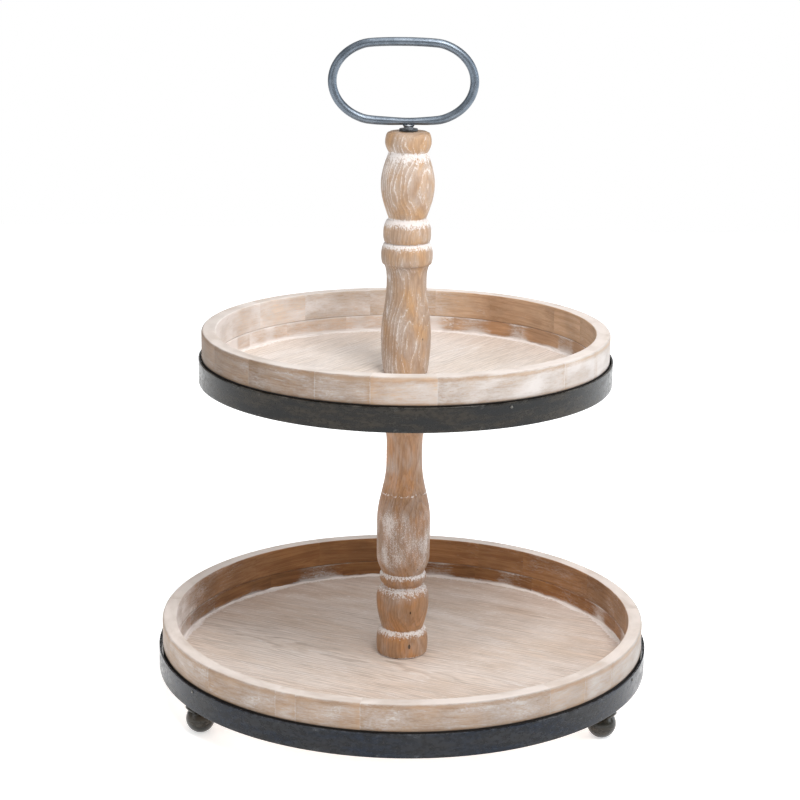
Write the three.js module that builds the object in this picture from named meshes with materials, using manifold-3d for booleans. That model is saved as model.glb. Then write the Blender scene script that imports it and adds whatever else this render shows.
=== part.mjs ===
// A two-tier round serving stand: two wooden trays in flat steel bands, joined by turned posts, with
// an oval carrying handle on top and three steel balls as feet. Millimetres, +Z up. The origin is on
// the floor, on the axis of the posts, and -Y is the front.
import * as THREE from "three";
import { mergeVertices } from "three/addons/utils/BufferGeometryUtils.js";
import Module from "manifold-3d";

// ---- Driving dimensions, in millimetres and degrees ----

const GAP = 0.3; // between pieces that rest on each other

// Each tray, measured up from the bottom edge of its steel band.
const BAND_HEIGHT = 19;
const BAND_THICKNESS = 1.5;
const WOOD_BOTTOM = 0.5;
const FLOOR_TOP = 5;
const LAYER_JOINT = 18.8; // where the two glued layers of the wall meet
const TRAY_TOP = 41;
const WALL_THICKNESS = 11.5;
const BASE_LEDGE = 0.4; // the lower layer stands in this far past the upper one
const RABBET_WIDTH = 5; // seat for the floor panel, cut into the wall from below
const RIM_ROUND = 1.6; // rounding of the rim's outer edge
const RIM_BREAK = 0.6; // smaller rounding of its inner edge
const FREE_FLAT = 22; // the floor's free flat begins this far from the axis, clear of a post's foot

const FOOT_RADIUS = 11.4;
const FOOT_CIRCLE = 188.4; // distance of each ball's centre from the axis
const FOOT_AZIMUTHS = { left: -56.5, right: 56.5, rear: 180 }; // turned from the front, towards +X
const WELD_RADIUS = 2.1;
const WELD_CIRCLE = 197.4;
const WELD_ROOT = 5; // the weld bead starts this far above the ball's centre

const LOWER = {
  name: "lower",
  bandRadius: 200,
  woodRadius: 197,
  bandBottom: 2 * FOOT_RADIUS + GAP,
  bradAzimuths: [66, 186, 306],
};
const UPPER = {
  name: "upper",
  bandRadius: 165,
  woodRadius: 162.4,
  bandBottom: LOWER.bandBottom + 238.9,
  bradAzimuths: [28, 148, 268],
};

const BRAD = { headRadius: 1.2, head: 0.6, shankRadius: 0.7, length: 12, point: 2, below: 3.4 };
const BRAD_HOLE = { radius: 1.1, overrun: 2 };

// M8 hardware: studs and bolt of 4 mm radius in brass inserts of 6 mm outer radius.
const SCREW_RADIUS = 4;
const INSERT_RADIUS = 6;
const INSERT_LENGTH = 20;
const INSERT_SINK = 0.4; // the insert's end lies this far below the wood
const PILOT_RADIUS = SCREW_RADIUS + GAP;
const PILOT_DEPTH = 8; // clearance for a screw's tip beyond its insert
const TIP_CHAMFER = 1;
const PANEL_HOLE_RADIUS = 4.6;
const BASE_WASHER = { radius: 12, thickness: 1.6 };
const BASE_BOLT = { headRadius: 7, head: 4.4, reach: 22 };
const BOLT_DOME = [
  [0.6, 1],
  [0.9, 0.7],
  [1, 0.2],
]; // shares of the bolt head's radius and height, from its crown to its edge
const LINK_STUD = { glued: 34, reach: 26 };
const HANDLE_STUD = { reach: 25, neckRadius: 3.7 };
const HANDLE_WASHER = { radius: 7.3, thickness: 2 };

// The ring is an ellipse with its halves moved "flat" to each side of its middle. "ease" is the
// share of the ellipse's half width over which they part.
const RING = { width: 117.4, height: 68.4, bar: 6.8, flat: 18, ease: 0.25, offset: -4.4, rise: 4.2 };

// Turned outlines: [height above the foot, radius, how the curve runs from the point before].
// "bead" is a quarter ellipse with its crest upright, "cove" is its hollow counterpart, "swell" is
// a quarter sine wave with its crest upright, and "sweep" is a half wave, upright at both ends.
const LOWER_POST_OUTLINE = [
  [0, 19.8, "start"],
  [10, 21.2, "bead"],
  [22.4, 17.1, "bead"],
  [45.6, 21.4, "swell"],
  [47.9, 21.4, "line"],
  [58.3, 15.9, "bead"],
  [60.9, 16.2, "line"],
  [66.4, 19.1, "bead"],
  [70.3, 17.2, "bead"],
  [84.6, 21.6, "swell"],
  [114.1, 21.8, "line"],
  [163.1, 14.6, "sweep"],
  [179.1, 14.5, "line"],
  [213.1, 19.6, "sweep"],
  [220.1, 16.8, "bead"],
  [226.1, 19.2, "bead"],
  [233.8, 17.4, "bead"],
];
const UPPER_POST_OUTLINE = [
  [0, 17.6, "start"],
  [28.2, 20, "swell"],
  [73.2, 15.9, "sweep"],
  [75.2, 15.9, "line"],
  [88, 19, "cove"],
  [95, 20.5, "bead"],
  [105, 17.1, "bead"],
  [111.4, 19, "bead"],
  [123.3, 15, "bead"],
  [124.7, 15, "line"],
  [150.9, 21.2, "swell"],
  [176, 15.4, "swell"],
  [184, 18.2, "swell"],
  [192.1, 15, "bead"],
];

// Fineness of the round shapes.
const TRAY_SIDES = 48;
const POST_SIDES = 24;
const SCREW_SIDES = 16;
const BRAD_SIDES = 8;
const WELD_SIDES = 10;
const BALL_FACETS = { around: 16, down: 11 };
const BAR_FACETS = { along: 48, around: 10 };
const CURVE_STEPS = 3;

// ---- Heights worked out from the dimensions ----

const LOWER_FLOOR = LOWER.bandBottom + FLOOR_TOP;
const UPPER_FLOOR = UPPER.bandBottom + FLOOR_TOP;
const LOWER_POST_FOOT = LOWER_FLOOR + GAP;
const LOWER_POST_HEAD = UPPER.bandBottom + WOOD_BOTTOM - GAP;
const UPPER_POST_FOOT = UPPER_FLOOR + GAP;
const UPPER_POST_HEAD = UPPER_POST_FOOT + UPPER_POST_OUTLINE.at(-1)[0];
const RING_BOTTOM = UPPER_POST_HEAD + RING.rise;

// ---- Finishes ----

const WOOD = { color: "#c3a58c", roughness: 0.75, metalness: 0 };
const RIM_WOOD = { color: "#d3bfab", roughness: 0.75, metalness: 0 };
const FLOOR_WOOD = { color: "#c8b8a6", roughness: 0.7, metalness: 0 };
const GUNMETAL = { color: "#3d4044", roughness: 0.45, metalness: 0.9 };
const BRONZE_BLACK = { color: "#3a352f", roughness: 0.4, metalness: 0.9 };
const BRUSHED_STEEL = { color: "#7d838a", roughness: 0.35, metalness: 0.95 };
const ZINC = { color: "#a9adb0", roughness: 0.35, metalness: 0.95 };
const BRASS = { color: "#b59a5a", roughness: 0.4, metalness: 0.9 };

// ---- Shape helpers ----

// A closed body of revolution about Z, from [radius, height] points listed anticlockwise with the
// radius to the right: up the outside, and down the inside or the axis.
function turned(points, sides) {
  const profile = points.map(([radius, height]) => new THREE.Vector2(radius, height));
  return new THREE.LatheGeometry(profile, sides).rotateX(Math.PI / 2);
}

// A loop of points that encloses material all the way round, such as a ring's section.
function turnedRing(points, sides) {
  return turned([...points, points[0]], sides);
}

function washer(inner, outer, bottom, thickness, sides = SCREW_SIDES) {
  const top = bottom + thickness;
  const section = [
    [inner, bottom],
    [outer, bottom],
    [outer, top],
    [inner, top],
  ];
  return turnedRing(section, sides);
}

// How far along the run from one radius to the next an outline has gone, for a height fraction t.
// A bead or a swell that grows has its crest at the end, and one that shrinks has it at the start.
function easing(kind, t, growing) {
  const fromCrest = growing ? 1 - t : t;
  const fall = {
    bead: 1 - Math.sqrt(1 - fromCrest ** 2),
    swell: 1 - Math.cos((fromCrest * Math.PI) / 2),
  }[kind];
  if (fall !== undefined) return growing ? 1 - fall : fall;
  if (kind === "sweep") return (1 - Math.cos(t * Math.PI)) / 2;
  if (kind === "cove") return 1 - Math.sqrt(1 - t ** 2);
  return t;
}

// The outline's curves as [radius, height] points, from the foot up.
function outlinePoints(outline, foot) {
  const points = [[outline[0][1], foot]];
  for (let i = 1; i < outline.length; i += 1) {
    const [startHeight, startRadius] = outline[i - 1];
    const [endHeight, endRadius, kind] = outline[i];
    const steps = kind === "line" ? 1 : CURVE_STEPS;
    for (let step = 1; step <= steps; step += 1) {
      const t = step / steps;
      const share = easing(kind, t, endRadius > startRadius);
      const radius = startRadius + (endRadius - startRadius) * share;
      points.push([radius, foot + startHeight + (endHeight - startHeight) * t]);
    }
  }
  return points;
}

// Moves a shape that was made about Z so that its Z axis points outward from the stand's axis.
function radially(geometry, azimuth, radius, height) {
  const angle = THREE.MathUtils.degToRad(azimuth - 90);
  return geometry
    .rotateY(Math.PI / 2)
    .translate(radius, 0, 0)
    .rotateZ(angle)
    .translate(0, 0, height);
}

// ---- Cutting and joining ----

const wasm = await Module();
wasm.setup();

function solidOf(geometry) {
  const bare = geometry.clone();
  bare.deleteAttribute("normal");
  bare.deleteAttribute("uv");
  const merged = mergeVertices(bare, 1e-4);
  const mesh = new wasm.Mesh({
    numProp: 3,
    vertProperties: new Float32Array(merged.attributes.position.array),
    triVerts: new Uint32Array(merged.index.array),
  });
  return new wasm.Manifold(mesh);
}

function geometryOf(solid) {
  const mesh = solid.getMesh();
  const geometry = new THREE.BufferGeometry();
  geometry.setAttribute("position", new THREE.BufferAttribute(mesh.vertProperties, 3));
  geometry.setIndex(new THREE.BufferAttribute(mesh.triVerts, 1));
  geometry.computeVertexNormals();
  return geometry;
}

function cut(geometry, tools) {
  const whole = solidOf(geometry);
  return geometryOf(tools.reduce((solid, tool) => solid.subtract(solidOf(tool)), whole));
}

// ---- Trays ----

// Radial drillings for a tray's brads, through the band and into the wall.
function bradDrillings(tier) {
  const depth = BRAD.length + BRAD.head;
  const height = tier.bandBottom + BAND_HEIGHT - BRAD.below;
  return tier.bradAzimuths.map((azimuth) => {
    const { radius, overrun } = BRAD_HOLE;
    const drill = new THREE.CylinderGeometry(radius, radius, depth + overrun, BRAD_SIDES);
    drill.rotateX(Math.PI / 2);
    return radially(drill, azimuth, tier.bandRadius - depth / 2, height);
  });
}

function bandShape(tier) {
  const inner = tier.bandRadius - BAND_THICKNESS;
  const hoop = washer(inner, tier.bandRadius, tier.bandBottom, BAND_HEIGHT, TRAY_SIDES);
  return cut(hoop, bradDrillings(tier));
}

// The panel is flat. Two rings of edges on its top face mark off the free flat between the post's
// foot and the wall.
function floorPanelShape(tier) {
  const bottom = tier.bandBottom + WOOD_BOTTOM;
  const top = tier.bandBottom + FLOOR_TOP;
  const wall = tier.woodRadius - WALL_THICKNESS;
  const section = [
    [PANEL_HOLE_RADIUS, bottom],
    [wall + RABBET_WIDTH - GAP, bottom],
    [wall + RABBET_WIDTH - GAP, top],
    [wall - BASE_LEDGE - GAP, top],
    [FREE_FLAT, top],
    [PANEL_HOLE_RADIUS, top],
  ];
  return turnedRing(section, TRAY_SIDES);
}

// The lower layer of the wall: an L section, with the rabbet that the floor panel sits in.
function rimBaseShape(tier) {
  const base = tier.bandBottom;
  const inner = tier.woodRadius - WALL_THICKNESS - BASE_LEDGE;
  const rabbet = tier.woodRadius - WALL_THICKNESS + RABBET_WIDTH;
  const section = [
    [rabbet, base + WOOD_BOTTOM],
    [tier.woodRadius, base + WOOD_BOTTOM],
    [tier.woodRadius, base + LAYER_JOINT - GAP],
    [inner, base + LAYER_JOINT - GAP],
    [inner, base + FLOOR_TOP + GAP],
    [rabbet, base + FLOOR_TOP + GAP],
  ];
  return cut(turnedRing(section, TRAY_SIDES), bradDrillings(tier));
}

// The upper layer of the wall, with its outer edge rounded and its inner edge just broken.
function rimTopShape(tier) {
  const bottom = tier.bandBottom + LAYER_JOINT;
  const top = tier.bandBottom + TRAY_TOP;
  const outer = tier.woodRadius;
  const inner = outer - WALL_THICKNESS;
  const arcMiddle = RIM_ROUND * (1 - Math.SQRT1_2);
  const section = [
    [inner, bottom],
    [outer, bottom],
    [outer, top - RIM_ROUND],
    [outer - arcMiddle, top - arcMiddle],
    [outer - RIM_ROUND, top],
    [inner + RIM_BREAK, top],
    [inner, top - RIM_BREAK],
  ];
  return turnedRing(section, TRAY_SIDES);
}

function bradShape(tier, azimuth) {
  const { head, headRadius, shankRadius, length, point } = BRAD;
  const profile = [
    [0, -length],
    [shankRadius, point - length],
    [shankRadius, 0],
    [headRadius, 0],
    [headRadius, head / 2],
    [headRadius * 0.7, head],
    [0, head],
  ];
  const height = tier.bandBottom + BAND_HEIGHT - BRAD.below;
  return radially(turned(profile, BRAD_SIDES), azimuth, tier.bandRadius + GAP / 2, height);
}

// ---- Feet ----

// A ball with the weld bead that reaches from its outer shoulder to the band's bottom edge.
function footShape(azimuth) {
  const { around, down } = BALL_FACETS;
  const ball = new THREE.SphereGeometry(FOOT_RADIUS, around, down).rotateX(Math.PI / 2);
  ball.translate(FOOT_CIRCLE, 0, FOOT_RADIUS);
  const beadBottom = FOOT_RADIUS + WELD_ROOT;
  const beadTop = LOWER.bandBottom - GAP;
  const bead = turned(
    [
      [0, beadBottom],
      [WELD_RADIUS, beadBottom],
      [WELD_RADIUS, beadTop],
      [0, beadTop],
    ],
    WELD_SIDES,
  );
  bead.translate(WELD_CIRCLE, 0, 0);
  const joined = solidOf(ball).add(solidOf(bead));
  return geometryOf(joined).rotateZ(THREE.MathUtils.degToRad(azimuth - 90));
}

// ---- Posts ----

// A stepped bore's wall as [radius, height] points, from the mouth to the bottom on the axis.
// "into" is +1 for a bore that runs up from the foot and -1 for one that runs down from the head.
function insertBore(mouth, into) {
  const seat = INSERT_RADIUS + GAP;
  const step = mouth + into * (INSERT_SINK + INSERT_LENGTH + GAP);
  const bottom = step + into * PILOT_DEPTH;
  return [
    [seat, mouth],
    [seat, step],
    [PILOT_RADIUS, step],
    [PILOT_RADIUS, bottom],
    [0, bottom],
  ];
}

function studBore(mouth, depth) {
  return [
    [PILOT_RADIUS, mouth],
    [PILOT_RADIUS, mouth - depth],
    [0, mouth - depth],
  ];
}

function postShape(outline, foot, headBore) {
  const outside = outlinePoints(outline, foot);
  const footBore = insertBore(foot, 1).reverse();
  return turned([...footBore, ...outside, ...headBore], POST_SIDES);
}

// ---- Hardware ----

function insertShape(bottom) {
  return washer(PILOT_RADIUS, INSERT_RADIUS, bottom, INSERT_LENGTH);
}

function baseBoltShape() {
  const { headRadius, head, reach } = BASE_BOLT;
  const seat = LOWER.bandBottom + WOOD_BOTTOM - BASE_WASHER.thickness - 2 * GAP;
  const tip = LOWER_POST_FOOT + reach;
  const profile = [
    [0, seat - head],
    ...BOLT_DOME.map(([across, down]) => [headRadius * across, seat - head * down]),
    [headRadius, seat],
    [SCREW_RADIUS, seat],
    [SCREW_RADIUS, tip - TIP_CHAMFER],
    [SCREW_RADIUS - TIP_CHAMFER, tip],
    [0, tip],
  ];
  return turned(profile, SCREW_SIDES);
}

function linkStudShape() {
  const bottom = LOWER_POST_HEAD - LINK_STUD.glued + GAP;
  const top = UPPER_POST_FOOT + LINK_STUD.reach;
  const profile = [
    [0, bottom],
    [SCREW_RADIUS, bottom],
    [SCREW_RADIUS, top - TIP_CHAMFER],
    [SCREW_RADIUS - TIP_CHAMFER, top],
    [0, top],
  ];
  return turned(profile, SCREW_SIDES);
}

// The thread below the post's head, and the plain neck that is welded to the ring above it.
function handleStudShape() {
  const bottom = UPPER_POST_HEAD - HANDLE_STUD.reach;
  const profile = [
    [0, bottom],
    [SCREW_RADIUS - TIP_CHAMFER, bottom],
    [SCREW_RADIUS, bottom + TIP_CHAMFER],
    [SCREW_RADIUS, UPPER_POST_HEAD],
    [HANDLE_STUD.neckRadius, UPPER_POST_HEAD],
    [HANDLE_STUD.neckRadius, RING_BOTTOM - GAP],
    [0, RING_BOTTOM - GAP],
  ];
  return turned(profile, SCREW_SIDES);
}

// The middle line of the handle's bar, which runs nearly straight along the top and bottom.
class RingLine extends THREE.Curve {
  getPoint(t, target = new THREE.Vector3()) {
    const angle = t * 2 * Math.PI;
    const sweepX = (RING.width - RING.bar) / 2 - RING.flat;
    const sweepZ = (RING.height - RING.bar) / 2;
    const cosine = Math.cos(angle);
    const flat = RING.flat * THREE.MathUtils.clamp(cosine / RING.ease, -1, 1);
    const middle = RING_BOTTOM + RING.height / 2;
    return target.set(RING.offset + flat + sweepX * cosine, 0, middle + sweepZ * Math.sin(angle));
  }
}

function ringShape() {
  const { along, around } = BAR_FACETS;
  return new THREE.TubeGeometry(new RingLine(), along, RING.bar / 2, around, true);
}

// ---- Assembly ----

const stand = new THREE.Group();

function place(name, geometry, finish) {
  const mesh = new THREE.Mesh(geometry, new THREE.MeshStandardMaterial(finish));
  mesh.name = name;
  stand.add(mesh);
}

for (const tier of [LOWER, UPPER]) {
  place(`${tier.name}_band`, bandShape(tier), GUNMETAL);
  place(`${tier.name}_floor_panel`, floorPanelShape(tier), FLOOR_WOOD);
  place(`${tier.name}_rim_base_ring`, rimBaseShape(tier), RIM_WOOD);
  place(`${tier.name}_rim_top_ring`, rimTopShape(tier), RIM_WOOD);
  tier.bradAzimuths.forEach((azimuth, index) => {
    place(`${tier.name}_brad_${index + 1}`, bradShape(tier, azimuth), BRUSHED_STEEL);
  });
}

for (const [side, azimuth] of Object.entries(FOOT_AZIMUTHS)) {
  place(`ball_foot_${side}`, footShape(azimuth), BRONZE_BLACK);
}

const lowerHeadBore = studBore(LOWER_POST_HEAD, LINK_STUD.glued);
place("lower_post", postShape(LOWER_POST_OUTLINE, LOWER_POST_FOOT, lowerHeadBore), WOOD);
const upperHeadBore = insertBore(UPPER_POST_HEAD, -1);
place("upper_post", postShape(UPPER_POST_OUTLINE, UPPER_POST_FOOT, upperHeadBore), WOOD);

const washerBottom = LOWER.bandBottom + WOOD_BOTTOM - GAP - BASE_WASHER.thickness;
const baseWasher = washer(PILOT_RADIUS, BASE_WASHER.radius, washerBottom, BASE_WASHER.thickness);
place("base_washer", baseWasher, ZINC);
place("base_bolt", baseBoltShape(), ZINC);
place("lower_post_foot_insert", insertShape(LOWER_POST_FOOT + INSERT_SINK), BRASS);
place("link_stud", linkStudShape(), ZINC);
place("upper_post_foot_insert", insertShape(UPPER_POST_FOOT + INSERT_SINK), BRASS);
const headInsertBottom = UPPER_POST_HEAD - INSERT_SINK - INSERT_LENGTH;
place("upper_post_head_insert", insertShape(headInsertBottom), BRASS);

const { radius: washerRadius, thickness: washerThickness } = HANDLE_WASHER;
const handleWasher = washer(PILOT_RADIUS, washerRadius, UPPER_POST_HEAD + GAP, washerThickness);
place("handle_washer", handleWasher, BRUSHED_STEEL);
place("handle_stud", handleStudShape(), BRUSHED_STEEL);
place("handle_ring", ringShape(), BRUSHED_STEEL);

export default stand;
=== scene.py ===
import math
import random

import bmesh
import bpy
import numpy as np
from mathutils import Matrix, Vector


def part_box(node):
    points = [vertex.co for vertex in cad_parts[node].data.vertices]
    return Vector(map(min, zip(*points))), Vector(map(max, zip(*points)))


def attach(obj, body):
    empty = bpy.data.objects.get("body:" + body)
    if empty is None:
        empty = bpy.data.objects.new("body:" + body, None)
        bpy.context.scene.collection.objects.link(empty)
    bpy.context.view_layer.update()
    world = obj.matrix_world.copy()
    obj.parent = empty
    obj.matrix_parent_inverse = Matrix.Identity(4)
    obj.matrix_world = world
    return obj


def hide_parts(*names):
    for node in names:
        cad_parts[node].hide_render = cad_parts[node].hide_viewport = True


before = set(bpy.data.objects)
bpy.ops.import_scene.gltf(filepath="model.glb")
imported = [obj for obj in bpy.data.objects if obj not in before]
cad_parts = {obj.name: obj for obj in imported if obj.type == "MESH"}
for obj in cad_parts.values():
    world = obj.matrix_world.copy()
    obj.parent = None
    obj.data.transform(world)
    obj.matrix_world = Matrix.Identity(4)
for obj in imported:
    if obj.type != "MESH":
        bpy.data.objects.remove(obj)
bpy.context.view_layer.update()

MM = 0.001

# ---- Sizes ----

GAP = 0.3 * MM
BAND_THICKNESS = 1.5 * MM
BAND_EDGE = 0.35 * MM
WALL_THICKNESS = 11.5 * MM
BASE_LEDGE = 0.4 * MM
RABBET_WIDTH = 5 * MM
RIM_ROUND = 1.7 * MM
RIM_BREAK = 0.9 * MM
LAYER_BREAK = 0.3 * MM
PANEL_HOLE = 4.6 * MM
PANEL_BREAK = 0.3 * MM

SCREW_RADIUS = 4 * MM
SCREW_PITCH = 1.25 * MM
THREAD_DEPTH = 0.65 * MM
INSERT_RADIUS = 6 * MM
INSERT_SINK = 0.4 * MM
INSERT_LENGTH = 20 * MM
PILOT_RADIUS = 4.3 * MM
PILOT_DEPTH = 8 * MM
STUD_BORE_DEPTH = 34 * MM
POST_EDGE = 0.7 * MM
BOLT_HEAD_HEIGHT = 4.4 * MM
NAIL_HEAD_RADIUS = 1.2 * MM

FOOT_RADIUS = 11.4 * MM
FOOT_REACH = 188.4 * MM
FOOT_AZIMUTHS = {"left": -56.5, "right": 56.5, "rear": 180}
FOOT_WELD_REACH = 197.6 * MM
FOOT_WELD_HALF = 5.6 * MM

RING_FLAT = 18 * MM
RING_EASE = 0.25
PINCH_LENGTH = 13 * MM
PINCH = 0.2
PINCH_SPREAD = 0.06
WELD_RISE = 1.6 * MM

# The glue joints of the walls that show at the front. The rest follow at steps of about JOINT_STEP.
TOP_JOINTS = {"lower": [-28.5, -23.5, -8.8, 34.6, 45.3, 55.5], "upper": [-46, -24, -9, 8.3, 47]}
BASE_JOINTS = [-40, -13, 16, 39]
BAND_WELDS = {"lower": 152, "upper": 205}
JOINT_STEP, JOINT_MARGIN, JOINT_SCATTER = 21, 19, 5
JOINT_WIDTH = 0.3 * MM
JOINT_DEPTH = 0.14 * MM

# Turned outlines: [height above the foot, radius, how the curve runs from the point before], in mm.
# "bead" is a quarter ellipse with its crest upright, "cove" is its hollow counterpart, "swell" is
# a quarter sine wave with its crest upright, and "sweep" is a half wave, upright at both ends.
LOWER_OUTLINE = [
    [0, 19.8, "start"], [10, 21.2, "bead"], [22.4, 17.1, "bead"], [45.6, 21.4, "swell"],
    [47.9, 21.4, "line"], [58.3, 15.9, "bead"], [60.9, 16.2, "line"], [66.4, 19.1, "bead"],
    [70.3, 17.2, "bead"], [84.6, 21.6, "swell"], [114.1, 21.8, "line"], [163.1, 14.6, "sweep"],
    [179.1, 14.5, "line"], [213.1, 19.6, "sweep"], [220.1, 16.8, "bead"], [226.1, 19.2, "bead"],
    [233.8, 17.4, "bead"],
]
UPPER_OUTLINE = [
    [0, 17.6, "start"], [28.2, 20, "swell"], [73.2, 15.9, "sweep"], [75.2, 15.9, "line"],
    [88, 19, "cove"], [95, 20.5, "bead"], [105, 17.1, "bead"], [111.4, 19, "bead"],
    [123.3, 15, "bead"], [124.7, 15, "line"], [150.9, 21.2, "swell"], [176, 15.4, "swell"],
    [184, 18.2, "swell"], [192.1, 15, "bead"],
]
# Where the white wash collected on the posts: [height, fade below it, fade above it, amount], in mm.
LOWER_WASH = [
    [0.4, 1, 1.5, 0.8], [22, 9, 1.5, 0.88], [58.8, 12, 2, 0.82], [70.2, 7, 1.2, 0.88],
    [139.2, 1.3, 1.1, 1.16], [219.5, 6, 3, 0.6],
]
UPPER_WASH = [
    [105, 9, 1.5, 0.97], [123.5, 11, 3, 1.0], [176, 15, 2.5, 0.9], [188, 4, 3, 0.4],
]
# How densely white flecks sit in the grain: [height, amount], in mm. One side of a post has more.
LOWER_FLECKS = [
    [0, 0.0], [46, 0.0], [50, 0.45], [72, 0.45], [84, 0.95], [120, 0.9], [136, 0.2], [195, 0.2], [215, 0.7],
]
UPPER_FLECKS = [[0, 0.8], [92, 0.75], [97, 0.3], [126, 0.6], [150, 0.85], [178, 0.95], [192, 0.4]]
FLECKED_SIDE = math.radians(-28)
# How dark the posts' wood is: [height, share], in mm.
LOWER_STAIN = [
    [0, 0.05], [45, 0.1], [52, 0.4], [72, 0.55], [110, 0.6], [134, 0.8], [146, 0.45], [233, 0.4],
]
UPPER_STAIN = [[0, 0.6], [92, 0.55], [150, 0.65], [192, 0.75]]

# The walls' finish round the trays: [azimuth, white wash, brown, grey grime], all as shares. The grime is
# partly painted shade, and the changes of all three round each tray partly paint the light and shade that
# fall on each side.
OUTER_LOOK = {
    "lower": [
        [-90, 0.55, 0.15, 0.3], [-50, 0.46, 0.32, 0.5], [0, 0.44, 0.35, 0.55], [45, 0.55, 0.25, 0.72],
        [90, 0.75, 0.1, 0.7], [180, 0.45, 0.35, 0.1],
    ],
    "upper": [
        [-90, 0.35, 0.45, 0.95], [-45, 0.4, 0.4, 0.72], [-8, 0.5, 0.35, 0.5], [30, 0.65, 0.15, 0.42],
        [90, 0.75, 0.05, 0.5], [180, 0.5, 0.3, 0.1],
    ],
}
INNER_LOOK = {
    "lower": [
        [-90, 0.72, 0.6, 0], [-120, 0.25, 0.85, 0], [-145, 0.0, 1.0, 0.05], [180, 0.12, 0.95, 0.1],
        [145, 0.2, 0.95, 0.15], [90, 0.3, 0.75, 0], [0, 0.3, 0.7, 0],
    ],
    "upper": [
        [-90, 0.75, 0, 0], [-135, 0.6, 0, 0], [180, 0.5, 0, 0], [150, 0.14, 0.66, 0.05],
        [120, 0.16, 0.35, 0], [90, 0.16, 0.15, 0], [0, 0.5, 0.2, 0],
    ],
}
# How far each floor is made darker and browner towards its back and its front.
FLOOR_DULLED = {"lower": (0.62, 0.42), "upper": (0.35, 0.3)}


# ---- Shape helpers ----


def smooth(value, start, end):
    """0 before start and 1 after end, with a smooth rise between; start may be the larger one."""
    share = np.clip((value - start) / (end - start), 0, 1)
    return share * share * (3 - 2 * share)


def hump(value, width):
    """1 at zero, dying away on both sides within about twice the width."""
    return np.exp(-((value / width) ** 2))


def easing(kind, share, growing):
    """How far along the run from one radius to the next an outline has gone."""
    from_crest = 1 - share if growing else share
    if kind == "bead":
        fall = 1 - math.sqrt(1 - from_crest**2)
    elif kind == "swell":
        fall = 1 - math.cos(from_crest * math.pi / 2)
    elif kind == "sweep":
        return (1 - math.cos(share * math.pi)) / 2
    elif kind == "cove":
        return 1 - math.sqrt(1 - share**2)
    else:
        return share
    return 1 - fall if growing else fall


def outline_points(outline, foot, step=0.9):
    """A turned outline as (radius, height) points, from the foot up."""
    points = [(outline[0][1] * MM, foot)]
    for (height0, radius0, _), (height1, radius1, kind) in zip(outline, outline[1:]):
        steps = max(4, round((height1 - height0) / step))
        for i in range(1, steps + 1):
            # Closer steps at both ends follow the steep part of a bead.
            share = (1 - math.cos(math.pi * i / steps)) / 2
            radius = radius0 + (radius1 - radius0) * easing(kind, share, radius1 > radius0)
            points.append((radius * MM, foot + (height0 + (height1 - height0) * share) * MM))
    return points


def rounded(corners, steps):
    """A closed outline through (radius, height, rounding) corners, each turned by a small arc."""
    points = []
    for i, (r, z, size) in enumerate(corners):
        here = np.array([r, z])
        if not size:
            points.append(here)
            continue
        before = np.array(corners[i - 1][:2]) - here
        after = np.array(corners[(i + 1) % len(corners)][:2]) - here
        before, after = before / np.linalg.norm(before), after / np.linalg.norm(after)
        centre = here + (before + after) * size
        for turn in np.linspace(0, math.pi / 2, steps + 1):
            points.append(centre - size * (after * math.cos(turn) + before * math.sin(turn)))
    return [tuple(p) for p in points]


def divided(points, longest):
    """The same closed outline with its long sides cut into steps."""
    out = []
    for start, end in zip(points, points[1:] + points[:1]):
        out.append(start)
        steps = math.ceil(math.dist(start, end) / longest)
        out += [tuple(np.array(start) + (np.array(end) - start) * s / steps) for s in range(1, steps)]
    return out


def ring_section(inner, outer, bottom, top, rounding, steps, longest):
    """The closed outline of a ring with a rectangular section, its corners rounded."""
    corners = [(inner, bottom), (outer, bottom), (outer, top), (inner, top)]
    return divided(rounded([(*corner, rounding) for corner in corners], steps), longest)


def full_circle(count):
    return np.arange(count) * 2 * math.pi / count


def around(radius, height, azimuth):
    """Points at a distance from the stand's axis, a height and an azimuth in radians."""
    radius, height, azimuth = np.broadcast_arrays(radius, height, azimuth)
    return np.stack([radius * np.sin(azimuth), -radius * np.cos(azimuth), height], -1)


def ripple(azimuth, waves, seed):
    """A smooth closed wave round the axis, about -1 to 1, made of a few sines."""
    dice = random.Random(seed)
    parts = [np.sin(wave * azimuth + dice.uniform(0, 6.28)) * dice.uniform(0.5, 1) for wave in waves]
    return sum(parts) / len(parts)


def grid_faces(columns, rows, rows_close):
    """Quads between neighbours of a grid of points whose columns run all the way round."""
    column = np.arange(columns)[:, None]
    row = np.arange(rows if rows_close else rows - 1)
    after, above = (column + 1) % columns, (row + 1) % rows
    corners = (column * rows + row, after * rows + row, after * rows + above, column * rows + above)
    return np.stack(np.broadcast_arrays(*corners), -1).reshape(-1, 4)


def grid_mesh(points, rows_close=False):
    """A mesh of a grid of points, not yet cleaned, so that values can be marked on it first."""
    mesh = bpy.data.meshes.new("grid")
    faces = grid_faces(*points.shape[:2], rows_close)
    mesh.from_pydata(points.reshape(-1, 3).tolist(), [], faces.tolist())
    return mesh


def cleaned(mesh):
    """The mesh with coincident points joined, faces turned outward and edges sharp past 40 degrees."""
    work = bmesh.new()
    work.from_mesh(mesh)
    bmesh.ops.remove_doubles(work, verts=work.verts, dist=1e-7)
    bmesh.ops.recalc_face_normals(work, faces=work.faces)
    work.to_mesh(mesh)
    work.free()
    mesh.shade_smooth()
    mesh.set_sharp_from_angle(angle=math.radians(40))
    return mesh


def mark(mesh, name, values, kind="FLOAT_COLOR", domain="POINT"):
    """Stores values on a mesh for its material to read."""
    field = {"FLOAT_COLOR": "color", "FLOAT_VECTOR": "vector", "FLOAT": "value"}[kind]
    layer = mesh.attributes.new(name, kind, domain)
    layer.data.foreach_set(field, np.ascontiguousarray(values, dtype=np.float32).ravel())


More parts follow.
